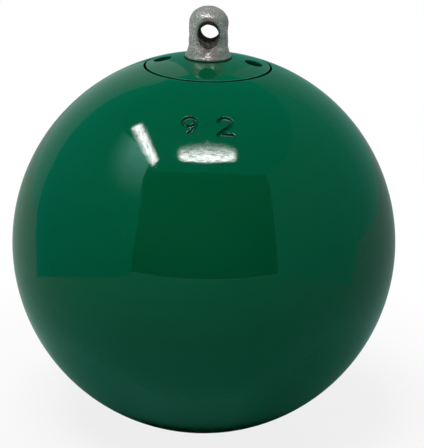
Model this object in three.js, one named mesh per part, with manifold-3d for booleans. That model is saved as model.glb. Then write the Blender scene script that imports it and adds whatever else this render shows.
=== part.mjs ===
// Head of an athletics hammer: an iron ball with a steel eye that swivels on a thrust ball bearing.
// Millimetres and degrees. The origin is the lowest point of the ball and +Z runs up through the eye.
import * as THREE from "three";
import { mergeVertices, toCreasedNormals } from "three/addons/utils/BufferGeometryUtils.js";
import Module from "manifold-3d";

// Ball
const ballDiameter = 92;
const lipBreak = 0.3;

// Bearing, with its ball circle midway between bore and rim
const bearingBore = 10;
const bearingOuter = 24;
const bearingHeight = 9;
const raceThickness = 2.9;
const raceChamfer = 0.5;
const upperRaceBore = 11;
const rollingBallDiameter = 4.762;
const rollingBallCount = 9;
const grooveConformity = 0.52;
const rollingGap = 0.05;
const cageThickness = 1.6;
const cageInnerWall = 0.6;
const cageOuterWall = 0.7;
const cagePocketGap = 0.12;

// Screwed cap over the bearing
const capMargin = 2.5;
const capGap = 0.55;
const capHeadHeight = 6;
const capLength = 16;
const capEdgeBreak = 0.3;
const capThreadPitch = 3;
const capThreadDepth = 1.65;
const capThreadRelief = 1.8;
const capThreadGap = 0.2;
const capThreadFadeTurns = 0.3;
const capEndChamfer = 0.4;
const pinHoleDiameter = 4.2;
const pinHoleCircle = 21.4;
const pinHoleDepth = 4;
const pinHoleCount = 2;
const pinHoleTurn = -2.5;

// Swivel eye: post, foot, collar and threaded shank
const postDiameter = 9.05;
const eyeHeight = 11.8;
const domeHeight = 3.7;
const eyeHoleDiameter = 4.4;
const eyeHoleHeight = 5.8;
const eyeLipRadius = 1.4;
const footHeight = 2.2;
const collarDiameter = 10.85;
const collarHeight = 2.6;
const collarProud = 0.2;
const collarEdgeBreak = 0.2;
const collarGap = 0.12;
const collarSeatGap = 0.15;
const shankGap = 0.1;
const shankFit = 0.04;
const spindleTail = 1;
const spindleEndChamfer = 0.8;
const spindleThreadRelief = 1;
const spindleThreadReliefDepth = 0.7;

// Nut, washer and split pin below the bearing
const washerDiameter = 20;
const washerThickness = 2;
const washerGap = 0.25;
const nutGap = 0.12;
const nutAcrossFlats = 16;
const nutHeight = 12;
const nutSlotWidth = 2.8;
const nutSlotDepth = 4.4;
const nutSlotCount = 6;
const nutFaceLand = 0.1;
const nutChamferAngle = 30;
const splitPinDiameter = 2;
const splitPinHoleGap = 0.2;
const splitPinLegGap = 0.2;
const splitPinLoopRadius = 0.9;
const splitPinSpread = 35;
const splitPinTailLength = 3;
const splitPinBendRadius = 1.6;
const splitPinClear = 0.2;

// Pocket in the ball under the cap
const pocketGap = 0.25;
const pocketFloorGap = 3;
const drillPointAngle = 118;

// Radii that follow from the sizes above
const ballRadius = ballDiameter / 2;
const capRadius = bearingOuter / 2 + capMargin;
const mouthRadius = capRadius + capGap;
const capCoreRadius = capRadius - capThreadDepth;
const ballThreadBore = capCoreRadius + capThreadGap;
const ballThreadRoot = capRadius + capThreadGap;
const pocketRadius = bearingOuter / 2 + pocketGap;
const collarRadius = collarDiameter / 2;
const collarRecessRadius = collarRadius + collarGap;
const postRadius = postDiameter / 2;
const shankRadius = bearingBore / 2 - shankFit;
const shankBoreRadius = shankRadius + shankGap;
const nutBoreRadius = shankRadius + nutGap;
const ballCircleRadius = (bearingBore + bearingOuter) / 4;
const rollingBallRadius = rollingBallDiameter / 2;
const splitPinRadius = (splitPinDiameter - splitPinLegGap) / 2;

// Heights that follow, from the pole of the ball down
const poleZ = ballDiameter;
const capSeatZ = poleZ - capHeadHeight;
const capUnderZ = poleZ - capLength;
const collarTopZ = poleZ + collarProud;
const collarUnderZ = collarTopZ - collarHeight;
const recessFloorZ = collarUnderZ - collarSeatGap;
const ballRowZ = capUnderZ - bearingHeight / 2;
const bearingUnderZ = capUnderZ - bearingHeight;
const washerUnderZ = bearingUnderZ - washerThickness;
const nutUnderZ = washerUnderZ - nutHeight;
const spindleEndZ = nutUnderZ - spindleTail;
const splitPinZ = nutUnderZ + nutSlotDepth - splitPinDiameter / 2 - splitPinClear;
const pocketFloorZ = spindleEndZ - pocketFloorGap;
const eyeHoleZ = poleZ + eyeHoleHeight;
const eyeTopZ = poleZ + eyeHeight;
const capThreadStartZ = capUnderZ + capThreadRelief;

// Facets round each kind of piece
const ballFacets = 48;
const capFacets = 48;
const capThreadSteps = 24;
const postFacets = 28;
const shankFacets = 24;
const raceFacets = 36;
const washerFacets = 32;
const lipFacets = 24;
const holeFacets = 14;
const rollingBallFacets = 12;
const pinBoreFacets = 12;

// Smooth shading joins faces below this angle, ridges sink this far into their cores,
// and cutters reach this far past what they cut.
const creaseAngle = 35;
const ridgeSunk = 0.25;
const cutterReach = 1;

const finishes = {
  paint: { color: 0x075840, roughness: 0.18, metalness: 0 },
  forged: { color: 0x9a9a96, roughness: 0.45, metalness: 0.9 },
  bearingSteel: { color: 0xc3c6c9, roughness: 0.16, metalness: 1 },
  cageBrass: { color: 0xb08d4c, roughness: 0.35, metalness: 1 },
  zinc: { color: 0xa9adb0, roughness: 0.38, metalness: 0.9 },
};

const wasm = await Module();
wasm.setup();

// A closed geometry as a solid: shared vertices merged, flat triangles dropped, faces turned out.
function solidOf(geometry) {
  const bare = new THREE.BufferGeometry();
  bare.setAttribute("position", geometry.getAttribute("position"));
  bare.setIndex(geometry.getIndex());
  const merged = mergeVertices(bare, 1e-4);
  const corners = merged.getIndex().array;
  const kept = [];
  for (let i = 0; i < corners.length; i += 3) {
    const [a, b, c] = corners.slice(i, i + 3);
    if (a !== b && b !== c && c !== a) kept.push([a, b, c]);
  }
  const make = (triangles) =>
    new wasm.Manifold(
      new wasm.Mesh({
        numProp: 3,
        vertProperties: merged.getAttribute("position").array,
        triVerts: new Uint32Array(triangles.flat()),
      }),
    );
  const solid = make(kept);
  return solid.volume() > 0 ? solid : make(kept.map(([a, b, c]) => [a, c, b]));
}

// A named mesh of a solid, with smooth shading over its curved faces.
function meshOf(name, solid, finish) {
  const { numProp, vertProperties, triVerts } = solid.getMesh();
  const positions = [];
  for (let i = 0; i < vertProperties.length; i += numProp) {
    positions.push(...vertProperties.subarray(i, i + 3));
  }
  const geometry = new THREE.BufferGeometry();
  geometry.setAttribute("position", new THREE.Float32BufferAttribute(positions, 3));
  geometry.setIndex([...triVerts]);
  const creased = toCreasedNormals(geometry, THREE.MathUtils.degToRad(creaseAngle));
  const mesh = new THREE.Mesh(creased, new THREE.MeshStandardMaterial(finish));
  mesh.name = name;
  return mesh;
}

// Points of an elliptic arc in a turned profile, as [radius, height], with both ends.
function arc([centreR, centreZ], [radiusR, radiusZ], fromDegrees, toDegrees, steps) {
  return Array.from({ length: steps + 1 }, (_, i) => {
    const angle = THREE.MathUtils.degToRad(fromDegrees + ((toDegrees - fromDegrees) * i) / steps);
    const r = centreR + radiusR * Math.cos(angle);
    return [Math.abs(r) < 1e-9 ? 0 : r, centreZ + radiusZ * Math.sin(angle)];
  });
}

// A profile of [radius, height] points turned about +Z.
function turned(profile, facets) {
  const points = profile.map(([r, z]) => new THREE.Vector2(r, z));
  return solidOf(new THREE.LatheGeometry(points, facets).rotateX(Math.PI / 2));
}

// A ring: its profile closes on itself.
function ring(profile, facets) {
  return turned([...profile, profile[0]], facets);
}

// A round bar along +Z between two heights.
function bar(radius, fromZ, toZ, facets) {
  return turned([[0, fromZ], [radius, fromZ], [radius, toZ], [0, toZ]], facets);
}

// The ball's surface: height over the origin at a radius from the axis, and the angle to it.
const crownZ = (r) => ballRadius + Math.sqrt(ballRadius ** 2 - r ** 2);
const crownAngle = (r) => THREE.MathUtils.radToDeg(Math.acos(r / ballRadius));
const crownArc = (fromR, toR, steps) =>
  arc([0, ballRadius], [ballRadius, ballRadius], crownAngle(fromR), crownAngle(toR), steps);

// Closed rings of points joined into a body, with a flat end on the first and the last.
function skinned(rings) {
  const count = rings[0].length;
  const index = [];
  for (let i = 0; i + 1 < rings.length; i += 1) {
    for (let j = 0; j < count; j += 1) {
      const a = i * count + j;
      const b = i * count + ((j + 1) % count);
      index.push(a, b, a + count, b, b + count, a + count);
    }
  }
  const last = (rings.length - 1) * count;
  for (let j = 1; j + 1 < count; j += 1) {
    index.push(0, j + 1, j, last, last + j, last + j + 1);
  }
  const geometry = new THREE.BufferGeometry();
  geometry.setAttribute("position", new THREE.Float32BufferAttribute(rings.flat(2), 3));
  geometry.setIndex(index);
  return solidOf(geometry);
}

// A screw thread's ridge: a trapezoid swept up a helix that passes originZ over the +X axis.
// It is sunk into its core, and dies away over fadeTurns at both ends.
function threadRidge(thread) {
  const { root, crest, pitch, fromZ, toZ, originZ, crestWidth, rootWidth, fadeTurns, stepsPerTurn } = thread;
  const steps = Math.ceil(((toZ - fromZ) / pitch) * stepsPerTurn);
  const start = Math.ceil(((fromZ - originZ) / pitch) * stepsPerTurn);
  const fadeSteps = fadeTurns * stepsPerTurn;
  const rings = Array.from({ length: steps + 1 }, (_, i) => {
    const turns = (start + i) / stepsPerTurn;
    const angle = turns * 2 * Math.PI;
    const z = originZ + turns * pitch;
    const fade = fadeSteps > 0 ? Math.min(1, i / fadeSteps, (steps - i) / fadeSteps) : 1;
    const top = root - ridgeSunk / 2 + (crest - root + ridgeSunk / 2) * fade;
    return [
      [root - ridgeSunk, z - rootWidth / 2],
      [top, z - crestWidth / 2],
      [top, z + crestWidth / 2],
      [root - ridgeSunk, z + rootWidth / 2],
    ].map(([r, height]) => [r * Math.cos(angle), r * Math.sin(angle), height]);
  });
  return skinned(rings);
}

// Widths of a sixty degree thread's ridge, made wider on each flank by the gap.
function threadWidths(pitch, depth, gap) {
  const crestWidth = pitch / 8 + 2 * gap;
  return { crestWidth, rootWidth: crestWidth + 2 * depth * Math.tan(Math.PI / 6) };
}

// Iron ball with its threaded mouth, thread relief and drilled pocket.
function ironBall() {
  const reliefRadius = ballThreadRoot + capThreadGap;
  const drillPoint = pocketRadius / Math.tan(THREE.MathUtils.degToRad(drillPointAngle / 2));
  const lipRadius = mouthRadius + lipBreak;
  const body = turned(
    [
      ...arc([0, ballRadius], [ballRadius, ballRadius], -90, 0, 11),
      ...crownArc(ballRadius, lipRadius, 9).slice(1),
      [mouthRadius, crownZ(mouthRadius) - lipBreak],
      [mouthRadius, capSeatZ],
      [ballThreadBore, capSeatZ],
      [ballThreadBore, capThreadStartZ],
      [reliefRadius, capThreadStartZ],
      [reliefRadius, capUnderZ],
      [pocketRadius, capUnderZ],
      [pocketRadius, pocketFloorZ],
      [0, pocketFloorZ - drillPoint],
    ],
    ballFacets,
  );
  const widths = threadWidths(capThreadPitch, capThreadDepth, capThreadGap);
  const groove = threadRidge({
    ...widths,
    root: ballThreadBore,
    crest: ballThreadRoot,
    pitch: capThreadPitch,
    fromZ: capUnderZ + widths.rootWidth / 2 + capThreadGap,
    toZ: capSeatZ + widths.rootWidth / 2 + capThreadGap,
    originZ: capUnderZ,
    fadeTurns: 0,
    stepsPerTurn: capThreadSteps,
  });
  return body.subtract(groove);
}

// Screwed cap: its crown carries on the ball's surface, with blind holes for a pin spanner.
function bearingCap() {
  const body = ring(
    [
      ...crownArc(collarRecessRadius + capEdgeBreak, capRadius - capEdgeBreak, 4),
      [capRadius, crownZ(capRadius) - capEdgeBreak],
      [capRadius, capSeatZ],
      [capCoreRadius, capSeatZ],
      [capCoreRadius, capUnderZ + capEndChamfer],
      [capCoreRadius - capEndChamfer, capUnderZ],
      [shankBoreRadius, capUnderZ],
      [shankBoreRadius, recessFloorZ],
      [collarRecessRadius, recessFloorZ],
      [collarRecessRadius, crownZ(collarRecessRadius) - capEdgeBreak],
    ],
    capFacets,
  );
  const widths = threadWidths(capThreadPitch, capThreadDepth, 0);
  let cap = body.add(
    threadRidge({
      ...widths,
      root: capCoreRadius,
      crest: capRadius,
      pitch: capThreadPitch,
      fromZ: capThreadStartZ + widths.rootWidth / 2 + capThreadGap,
      toZ: capSeatZ - widths.rootWidth / 2 - capThreadGap,
      originZ: capUnderZ,
      fadeTurns: capThreadFadeTurns,
      stepsPerTurn: capThreadSteps,
    }),
  );
  const floorZ = crownZ(pinHoleCircle / 2) - pinHoleDepth;
  for (let i = 0; i < pinHoleCount; i += 1) {
    const angle = THREE.MathUtils.degToRad(pinHoleTurn + (360 * i) / pinHoleCount);
    const x = (pinHoleCircle / 2) * Math.cos(angle);
    const y = (pinHoleCircle / 2) * Math.sin(angle);
    cap = cap.subtract(bar(pinHoleDiameter / 2, floorZ, poleZ, holeFacets).translate([x, y, 0]));
  }
  return cap;
}

// Swivel eye: domed post with a trumpet-mouthed wire hole, a sunk collar and a threaded shank.
function swivelEye() {
  const footRadius = collarRadius - collarEdgeBreak;
  const shoulderZ = eyeTopZ - domeHeight;
  const footTopZ = collarTopZ + footHeight;
  const threadTopZ = washerUnderZ + washerThickness / 2;
  const post = turned(
    [
      [0, collarUnderZ],
      [collarRadius, collarUnderZ],
      [collarRadius, collarTopZ - collarEdgeBreak],
      ...arc([footRadius, footTopZ], [footRadius - postRadius, footHeight], 270, 180, 4),
      ...arc([0, shoulderZ], [postRadius, domeHeight], 0, 90, 6),
    ],
    postFacets,
  );
  const shank = turned(
    [
      [0, spindleEndZ],
      [shankRadius - spindleEndChamfer, spindleEndZ],
      [shankRadius, spindleEndZ + spindleEndChamfer],
      [shankRadius, threadTopZ - spindleThreadRelief],
      [shankRadius - spindleThreadReliefDepth, threadTopZ - spindleThreadRelief / 2],
      [shankRadius, threadTopZ],
      [shankRadius, collarUnderZ + collarHeight / 2],
      [0, collarUnderZ + collarHeight / 2],
    ],
    shankFacets,
  );
  const throat = eyeHoleDiameter / 2;
  const lipStart = postRadius - eyeLipRadius;
  const mouth = arc(
    [throat + eyeLipRadius, lipStart],
    [eyeLipRadius, eyeLipRadius],
    180,
    90,
    4,
  );
  const outer = postRadius + cutterReach;
  const trumpet = turned(
    [
      [0, -outer],
      [throat + eyeLipRadius, -outer],
      ...mouth.map(([r, z]) => [r, -z]).reverse(),
      ...mouth,
      [throat + eyeLipRadius, outer],
      [0, outer],
    ],
    lipFacets,
  )
    .rotate([90, 0, 0])
    .translate([0, 0, eyeHoleZ]);
  const pinHoleRadius = splitPinDiameter / 2 + splitPinHoleGap;
  const pinHole = bar(pinHoleRadius, -bearingBore, bearingBore, pinBoreFacets)
    .rotate([0, 90, 0])
    .translate([0, 0, splitPinZ]);
  return post.add(shank).subtract(trumpet).subtract(pinHole);
}

// One race of the bearing, its groove facing the row of balls: side is 1 above them, -1 below.
function bearingRace(side, boreRadius) {
  const grooveRadius = grooveConformity * rollingBallDiameter;
  const arcHeight = rollingBallRadius + rollingGap - grooveRadius;
  const faceHeight = bearingHeight / 2 - raceThickness;
  const backHeight = bearingHeight / 2;
  const rimRadius = bearingOuter / 2;
  const half = THREE.MathUtils.radToDeg(Math.acos((faceHeight - arcHeight) / grooveRadius));
  const profile = [
    [boreRadius, backHeight - raceChamfer],
    [boreRadius, faceHeight],
    ...arc([ballCircleRadius, arcHeight], [grooveRadius, grooveRadius], 90 + half, 90 - half, 5),
    [rimRadius, faceHeight],
    [rimRadius, backHeight - raceChamfer],
    [rimRadius - raceChamfer, backHeight],
    [boreRadius + raceChamfer, backHeight],
  ];
  return ring(profile.map(([r, height]) => [r, ballRowZ + side * height]), raceFacets);
}

// The place of each rolling ball round its circle.
const ballPlaces = Array.from({ length: rollingBallCount }, (_, i) => {
  const angle = (2 * Math.PI * i) / rollingBallCount;
  return [ballCircleRadius * Math.cos(angle), ballCircleRadius * Math.sin(angle), ballRowZ];
});

// Cage: a flat ring with a round pocket for each ball.
function ballCage() {
  const pocket = rollingBallRadius + cagePocketGap;
  const inner = ballCircleRadius - pocket - cageInnerWall;
  const outer = ballCircleRadius + pocket + cageOuterWall;
  const half = cageThickness / 2;
  const plate = ring([[inner, -half], [outer, -half], [outer, half], [inner, half]], raceFacets)
    .translate([0, 0, ballRowZ]);
  const drill = bar(pocket, -cageThickness, cageThickness, holeFacets);
  return ballPlaces.reduce((cage, place) => cage.subtract(drill.translate(place)), plate);
}

function rollingBall(place) {
  const sphere = arc([0, 0], [rollingBallRadius, rollingBallRadius], -90, 90, 8);
  return turned(sphere, rollingBallFacets).translate(place);
}

function spindleWasher() {
  const inner = bearingBore / 2 + washerGap;
  const outer = washerDiameter / 2;
  return ring(
    [[inner, washerUnderZ], [outer, washerUnderZ], [outer, bearingUnderZ], [inner, bearingUnderZ]],
    washerFacets,
  );
}

// Castle nut: a chamfered hexagon with slots in its lower end.
function castleNut() {
  const cornerRadius = nutAcrossFlats / Math.sqrt(3);
  const flatRadius = nutAcrossFlats / 2;
  const faceRadius = flatRadius - nutFaceLand;
  const rise = (cornerRadius - faceRadius) * Math.tan(THREE.MathUtils.degToRad(nutChamferAngle));
  const hexagon = new THREE.Shape(
    Array.from({ length: 6 }, (_, i) => {
      const angle = ((i + 0.5) * Math.PI) / 3;
      return new THREE.Vector2(cornerRadius * Math.cos(angle), cornerRadius * Math.sin(angle));
    }),
  );
  const prism = solidOf(new THREE.ExtrudeGeometry(hexagon, { depth: nutHeight, bevelEnabled: false }));
  const chamfers = turned(
    [
      [0, 0],
      [faceRadius, 0],
      [cornerRadius, rise],
      [cornerRadius, nutHeight - rise],
      [faceRadius, nutHeight],
      [0, nutHeight],
    ],
    washerFacets,
  );
  let nut = prism.intersect(chamfers).translate([0, 0, nutUnderZ]);
  const bore = bar(nutBoreRadius, nutUnderZ - cutterReach, washerUnderZ + cutterReach, shankFacets);
  nut = nut.subtract(bore);
  const slot = solidOf(new THREE.BoxGeometry(2 * nutAcrossFlats, nutSlotWidth, 2 * nutSlotDepth));
  for (let i = 0; i < nutSlotCount / 2; i += 1) {
    nut = nut.subtract(slot.rotate([0, 0, (360 * i) / nutSlotCount]).translate([0, 0, nutUnderZ]));
  }
  return nut;
}

// Split pin: half-round wire folded into a loop, its two tails bent apart past the nut.
function splitPin() {
  const legY = splitPinLegGap / 2;
  const spread = THREE.MathUtils.degToRad(splitPinSpread);
  const flatX = nutAcrossFlats / 2;
  const bendX = flatX + splitPinClear + splitPinRadius - splitPinBendRadius;
  const bendSteps = 4;
  const leg = [[bendX + splitPinBendRadius, legY + splitPinBendRadius + splitPinTailLength]];
  for (let i = 0; i <= bendSteps; i += 1) {
    const angle = (-Math.PI / 2) * (i / bendSteps);
    leg.push([
      bendX + splitPinBendRadius * Math.cos(angle),
      legY + splitPinBendRadius + splitPinBendRadius * Math.sin(angle),
    ]);
  }
  const forkX = -(flatX + splitPinClear);
  leg.push([forkX, legY]);
  const tangentY = splitPinLoopRadius * Math.cos(spread);
  const reach = (tangentY - legY) / Math.sin(spread);
  const loopX = forkX - reach * Math.cos(spread) - splitPinLoopRadius * Math.sin(spread);
  const loopSteps = 8;
  const from = Math.PI / 2 - spread;
  const loop = Array.from({ length: loopSteps + 1 }, (_, i) => {
    const angle = from + ((2 * Math.PI - 2 * from) * i) / loopSteps;
    return [loopX + splitPinLoopRadius * Math.cos(angle), splitPinLoopRadius * Math.sin(angle)];
  });
  const path = [...leg, ...loop, ...leg.map(([x, y]) => [x, -y]).reverse()];
  const section = arc([0, 0], [splitPinRadius, splitPinRadius], -90, 90, 5);
  const rings = path.map(([x, y], i) => {
    const before = path[Math.max(i - 1, 0)];
    const after = path[Math.min(i + 1, path.length - 1)];
    const into = new THREE.Vector2(x - before[0], y - before[1]).normalize();
    const out = new THREE.Vector2(after[0] - x, after[1] - y).normalize();
    const along = into.clone().add(out).normalize();
    const stretch = 1 / Math.max(along.dot(i > 0 ? into : out), 0.5);
    return section.map(([across, up]) => [
      x + across * stretch * along.y,
      y - across * stretch * along.x,
      splitPinZ + up,
    ]);
  });
  return skinned(rings);
}

// The head: what stays still with the ball, what turns with the eye, and the row of balls between.
const hammerHead = new THREE.Group();
const fixed = new THREE.Group();
fixed.add(meshOf("iron_ball", ironBall(), finishes.paint));
fixed.add(meshOf("bearing_cap", bearingCap(), finishes.paint));
fixed.add(meshOf("upper_race", bearingRace(1, upperRaceBore / 2), finishes.bearingSteel));

const spindle = new THREE.Group();
spindle.add(meshOf("swivel_eye", swivelEye(), finishes.forged));
spindle.add(meshOf("lower_race", bearingRace(-1, bearingBore / 2), finishes.bearingSteel));
spindle.add(meshOf("spindle_washer", spindleWasher(), finishes.zinc));
spindle.add(meshOf("castle_nut", castleNut(), finishes.zinc));
spindle.add(meshOf("split_pin", splitPin(), finishes.zinc));

const ballRow = new THREE.Group();
ballRow.add(meshOf("ball_cage", ballCage(), finishes.cageBrass));
ballPlaces.forEach((place, i) => {
  ballRow.add(meshOf(`rolling_ball_${i + 1}`, rollingBall(place), finishes.bearingSteel));
});

hammerHead.add(fixed, spindle, ballRow);

export default hammerHead;
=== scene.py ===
# %% [markdown]
# # The head of a throwing hammer
# An iron ball carries a round cap, screwed in flush with its surface. A steel eye stands out of
# the cap and takes the wire. Inside, a ball bearing lets the eye turn while it pulls.
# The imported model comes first: it gives every size and place, and the pieces made here follow it.

# %% Load the frame
import math

import bmesh
import bpy
import numpy as np
from mathutils import Matrix, Vector, noise


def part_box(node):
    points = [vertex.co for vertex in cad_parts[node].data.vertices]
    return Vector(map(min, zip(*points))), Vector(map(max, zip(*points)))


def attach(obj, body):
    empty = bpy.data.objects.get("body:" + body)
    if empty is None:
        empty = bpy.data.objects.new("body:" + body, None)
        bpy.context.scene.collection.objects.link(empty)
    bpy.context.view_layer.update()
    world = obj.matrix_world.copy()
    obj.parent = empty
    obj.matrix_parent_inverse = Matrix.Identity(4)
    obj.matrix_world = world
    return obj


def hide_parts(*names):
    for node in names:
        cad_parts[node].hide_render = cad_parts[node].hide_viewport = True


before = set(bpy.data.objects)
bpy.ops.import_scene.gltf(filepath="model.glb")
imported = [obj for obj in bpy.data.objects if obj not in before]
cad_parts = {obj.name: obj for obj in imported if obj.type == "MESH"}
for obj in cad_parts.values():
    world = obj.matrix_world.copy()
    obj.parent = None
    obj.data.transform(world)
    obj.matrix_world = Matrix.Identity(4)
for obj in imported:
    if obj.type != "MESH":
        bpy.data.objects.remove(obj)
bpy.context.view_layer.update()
scene = bpy.context.scene

# %% [markdown]
# ## Sizes
# A maker measures what is there before making what fits it. Lengths here are in millimetres, the
# workshop's unit, and are turned into metres only when a mesh is made.

# %% Measure the frame
MM = 0.001


def reach(node):
    """Lowest and highest corner of a piece of the frame, in millimetres."""
    low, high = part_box(node)
    return np.array(low) / MM, np.array(high) / MM


ball_radius = reach("iron_ball")[1][0]
pole_z = 2 * ball_radius
centre = Vector((0, 0, ball_radius * MM))
(_, _, cap_under_z), (cap_radius, _, _) = reach("bearing_cap")
(_, _, spindle_end_z), (collar_radius, _, eye_top_z) = reach("swivel_eye")
race_radius = reach("upper_race")[1][0]
bearing_under_z = reach("lower_race")[0][2]
washer_under_z = reach("spindle_washer")[0][2]
nut_under_z = reach("castle_nut")[0][2]
print(f"ball {2 * ball_radius:.1f} mm, cap {2 * cap_radius:.1f} mm, eye to {eye_top_z:.1f} mm")

# %% [markdown]
# ## Camera
# The camera stands ten ball radii away, a little above the ball and a little to the right, and
# leans so slightly that the head seems to tip. The ball's outline in the picture sets the lens:
# a sphere seen from a known distance has a known angular size.

# %% Place the camera
PICTURE_WIDTH, PICTURE_HEIGHT = 424, 448
SENSOR = 36.0
OUTLINE_X, OUTLINE_Y, OUTLINE_RADIUS = 203.87, 241.78, 191.58
VIEW_DISTANCE = 10.0
VIEW_TURN, VIEW_TILT, VIEW_ROLL = 3.5, 19.24, 1.3


def placed(name, data):
    """A new object in the scene that holds this data."""
    made = bpy.data.objects.new(name, data)
    scene.collection.objects.link(made)
    return made


def aim_from(turn, tilt):
    """Direction from the ball in degrees: turn 0 is under the camera, and plus is to its right."""
    turn, tilt = math.radians(VIEW_TURN + turn), math.radians(tilt)
    return Vector((math.sin(turn) * math.cos(tilt), -math.cos(turn) * math.cos(tilt), math.sin(tilt)))


to_camera = aim_from(0, VIEW_TILT)
lens = bpy.data.cameras.new("camera")
lens.sensor_width = SENSOR
lens.lens = OUTLINE_RADIUS * math.sqrt(VIEW_DISTANCE**2 - 1) / PICTURE_HEIGHT * SENSOR
lens.shift_x = (PICTURE_WIDTH / 2 - OUTLINE_X) / PICTURE_HEIGHT
lens.shift_y = (OUTLINE_Y - PICTURE_HEIGHT / 2) / PICTURE_HEIGHT
camera = placed("camera", lens)
camera.location = centre + to_camera * VIEW_DISTANCE * ball_radius * MM
roll = Matrix.Rotation(math.radians(VIEW_ROLL), 3, "Z")
camera.rotation_euler = ((-to_camera).to_track_quat("-Z", "Y").to_matrix() @ roll).to_euler()
scene.camera = camera
scene.view_settings.view_transform = "Standard"
print(f"lens {lens.lens:.1f} mm")

# %% [markdown]
# ## Node helpers
# A finish is a small graph of nodes. It could be drawn by hand in the shader editor, but written
# down it can be read, reused and changed. These helpers start a material, add a node, do a sum on
# numbers or places, and make the soft noise from which most finishes grow.


# %% Make materials from nodes
def wire(owner, value, socket):
    """Leads another node's output to this socket, or sets a plain value on it."""
    if isinstance(value, bpy.types.NodeSocket):
        owner.node_tree.links.new(value, socket)
    else:
        socket.default_value = value


def add(owner, kind, inputs=None, **settings):
    """A node in a material or world. Inputs are numbers, colours or the sockets they come from."""
    made = owner.node_tree.nodes.new("ShaderNode" + kind)
    for key, value in settings.items():
        setattr(made, key, value)
    for key, value in (inputs or {}).items():
        wire(owner, value, made.inputs[key])
    return made


def give(material, **inputs):
    """Feeds inputs of the material's own surface shader, written with _ for each space."""
    surface = material.node_tree.nodes["Principled BSDF"]
    for name, value in inputs.items():
        wire(material, value, surface.inputs[name.replace("_", " ")])


def finish(name, **inputs):
    """A new material whose surface shader has these inputs."""
    material = bpy.data.materials.new(name)
    material.use_nodes = True
    give(material, **inputs)
    return material


def maths(owner, operation, *numbers):
    return add(owner, "Math", dict(enumerate(numbers)), operation=operation).outputs[0]


def vectors(owner, operation, *places):
    """A sum on places. Only a length comes out as a number."""
    made = add(owner, "VectorMath", dict(enumerate(places)), operation=operation)
    return made.outputs["Value" if operation == "LENGTH" else "Vector"]


def place_on(owner, kind="Object"):
    return add(owner, "TexCoord").outputs[kind]


def part(owner, place, axis):
    return add(owner, "SeparateXYZ", {0: place}).outputs[axis]


basics = (wire, add, give, finish, maths, vectors, place_on, part)
print("node helpers:", ", ".join(helper.__name__ for helper in basics))


# %% Spread, mix and dent
def grain(material, size, detail=4.0, roughness=0.6, distortion=0.0):
    """Noise between 0 and 1 whose blobs are about size millimetres across, fixed to the piece."""
    values = {"Vector": place_on(material), "Scale": 1 / (size * MM), "Detail": detail}
    values |= {"Roughness": roughness, "Distortion": distortion}
    return add(material, "TexNoise", values).outputs["Fac"]


def spread(material, value, low, high, to_low, to_high):
    """Maps low..high onto to_low..to_high and stops at both ends."""
    values = {"Value": value, "From Min": low, "From Max": high, "To Min": to_low, "To Max": to_high}
    return add(material, "MapRange", values).outputs["Result"]


def between(material, share, *colours):
    """The first colour at share 0 and the second at share 1."""
    ends = [c if isinstance(c, bpy.types.NodeSocket) else (*c, 1.0) for c in colours]
    return add(material, "Mix", {0: share, 6: ends[0], 7: ends[1]}, data_type="RGBA").outputs[2]


def graded(material, value, low, high, *colours):
    """The first colour where the value is low and the second where it is high."""
    return between(material, spread(material, value, low, high, 0, 1), *colours)


def dent(material, height, depth, before=None):
    """Bump of depth millimetres from a height between 0 and 1, on top of an earlier one."""
    values = {"Height": height, "Distance": depth * MM, "Strength": 1.0}
    if before is not None:
        values["Normal"] = before
    normal = add(material, "Bump", values).outputs["Normal"]
    give(material, Normal=normal)
    return normal


print("finish helpers:", ", ".join(helper.__name__ for helper in (grain, spread, between, graded, dent)))

# %% [markdown]
# ## Floor and white background
# The head stands on a plain pale floor before plain white. The white is the world's own colour
# where the eye, a reflection or a see-through ray meets it, while the light that the world sheds
# stays soft. The floor keeps the shadow: far out it fades into the same white.

# %% Build the world and the floor
SKY_LIGHT = 0.3
FLOOR_RADIUS, FLOOR_SINK = 6.0, 0.00005
FADE_START, FADE_END = 0.045, 0.11
WHITE_AT_START = 0.84
world = bpy.data.worlds.new("white_room")
scene.world = world
world.use_nodes = True


def seen_white(owner):
    """1 where a camera, reflected or see-through ray looks, else 0."""
    path = add(owner, "LightPath").outputs
    first = maths(owner, "MAXIMUM", path["Is Camera Ray"], path["Is Glossy Ray"])
    return maths(owner, "MAXIMUM", first, path["Is Transmission Ray"])


background = world.node_tree.nodes["Background"].inputs
background["Color"].default_value = (1, 1, 1, 1)
wire(world, spread(world, seen_white(world), 0, 1, SKY_LIGHT, 1), background["Strength"])


def object_from(name, points, faces):
    mesh = bpy.data.meshes.new(name)
    mesh.from_pydata(points, [], faces)
    return placed(name, mesh)


def disc(name, radius, z, rings=24, columns=96):
    """A flat round sheet made of rings that widen outwards."""
    radii = radius * (np.arange(1, rings + 1) / rings) ** 2
    angles = np.linspace(0, 2 * math.pi, columns, endpoint=False)
    points = [(0, 0, z)] + [(r * math.cos(a), r * math.sin(a), z) for r in radii for a in angles]
    faces = [(0, 1 + j, 1 + (j + 1) % columns) for j in range(columns)]
    for i in range(rings - 1):
        for j in range(columns):
            a, b = 1 + i * columns + j, 1 + i * columns + (j + 1) % columns
            faces.append((a, a + columns, b + columns, b))
    flat = object_from(name, points, faces)
    return flat


def show(material, shader):
    """Makes a shader node what the material shows."""
    wire(material, shader.outputs[0], material.node_tree.nodes["Material Output"].inputs["Surface"])


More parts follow.
